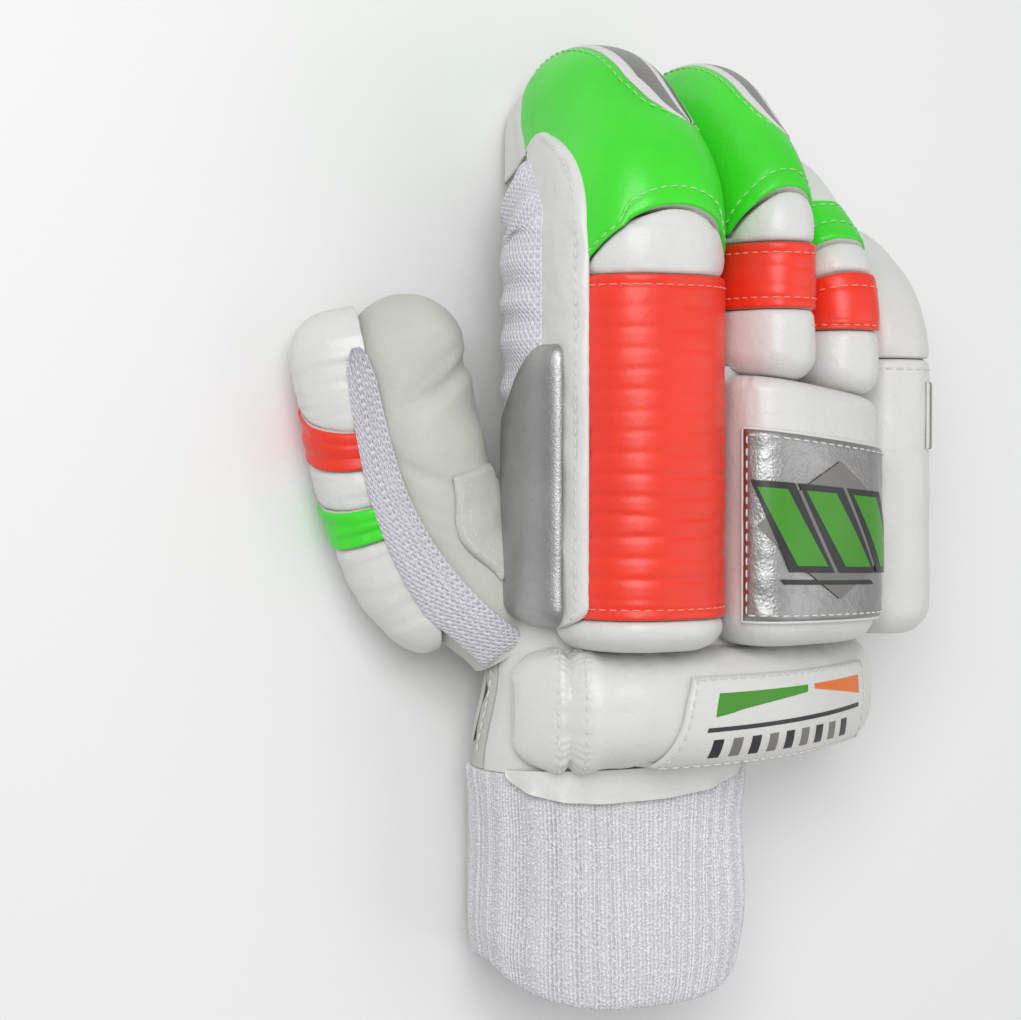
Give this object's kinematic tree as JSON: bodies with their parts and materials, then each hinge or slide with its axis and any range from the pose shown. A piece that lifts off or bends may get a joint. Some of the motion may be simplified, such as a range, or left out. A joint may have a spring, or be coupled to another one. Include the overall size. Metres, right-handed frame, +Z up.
{
  "type": "cricket batting glove",
  "caption": "Padded right-hand batting glove lying palm down, with rolled finger pads, a knuckle block, a cuff bar, a thumb and a towelling wristband.",
  "frame": {"origin": "on the surface that the glove rests on, under the middle of its bounding box", "axes": "+Y from the wrist to the fingertips, +X from the thumb to the little finger, +Z up out of the back of the hand"},
  "size_m": [0.1956, 0.2788, 0.0871],
  "materials": {
    "palm_leather": "soft ivory sheepskin with creases",
    "white_leather": "smooth white coated leather over foam, slightly glossy",
    "green_leather": "bright green coated leather, semi-gloss",
    "red_leather": "red-orange coated leather with fine ribs, semi-gloss",
    "silver_leather": "silver metallic coated leather with a crinkled grain",
    "striped_inlay": "leather with plain grey, pale and black stripes",
    "knit": "open white knit mesh",
    "towelling": "pale ribbed towelling knit"
  },
  "bodies": {
    "root": {"index_stall": "palm_leather", "middle_stall": "palm_leather", "ring_stall": "palm_leather", "little_stall": "palm_leather", "thumb_stall": "palm_leather", "hand_palm": "palm_leather", "thumb_patch": "palm_leather", "hand_backing": "white_leather", "index_heel": "white_leather", "index_mid_roll": "white_leather", "index_tip_cap": "white_leather", "middle_lower_roll": "white_leather", "middle_mid_roll": "white_leather", "middle_tip_cap": "white_leather", "ring_lower_roll": "white_leather", "ring_mid_roll": "white_leather", "ring_tip_roll": "white_leather", "little_side_roll": "white_leather", "little_tip_roll": "white_leather", "knuckle_block": "white_leather", "cuff_bar": "white_leather", "cuff_skirt": "white_leather", "cuff_label": "white_leather", "index_side_leather": "white_leather", "wrist_strap": "white_leather", "thumb_roll_base": "white_leather", "thumb_roll_mid": "white_leather", "thumb_roll_tip": "white_leather", "index_tip_roll": "green_leather", "middle_tip_roll": "green_leather", "ring_green_band": "green_leather", "thumb_band_green": "green_leather", "index_block": "red_leather", "middle_band": "red_leather", "ring_red_band": "red_leather", "thumb_band_red": "red_leather", "knuckle_patch": "silver_leather", "side_bar": "silver_leather", "index_inlay": "striped_inlay", "middle_inlay": "striped_inlay", "side_inlay": "striped_inlay", "index_gusset": "knit", "thumb_knit": "knit", "wristband": "towelling"}
  },
  "joints": []
}
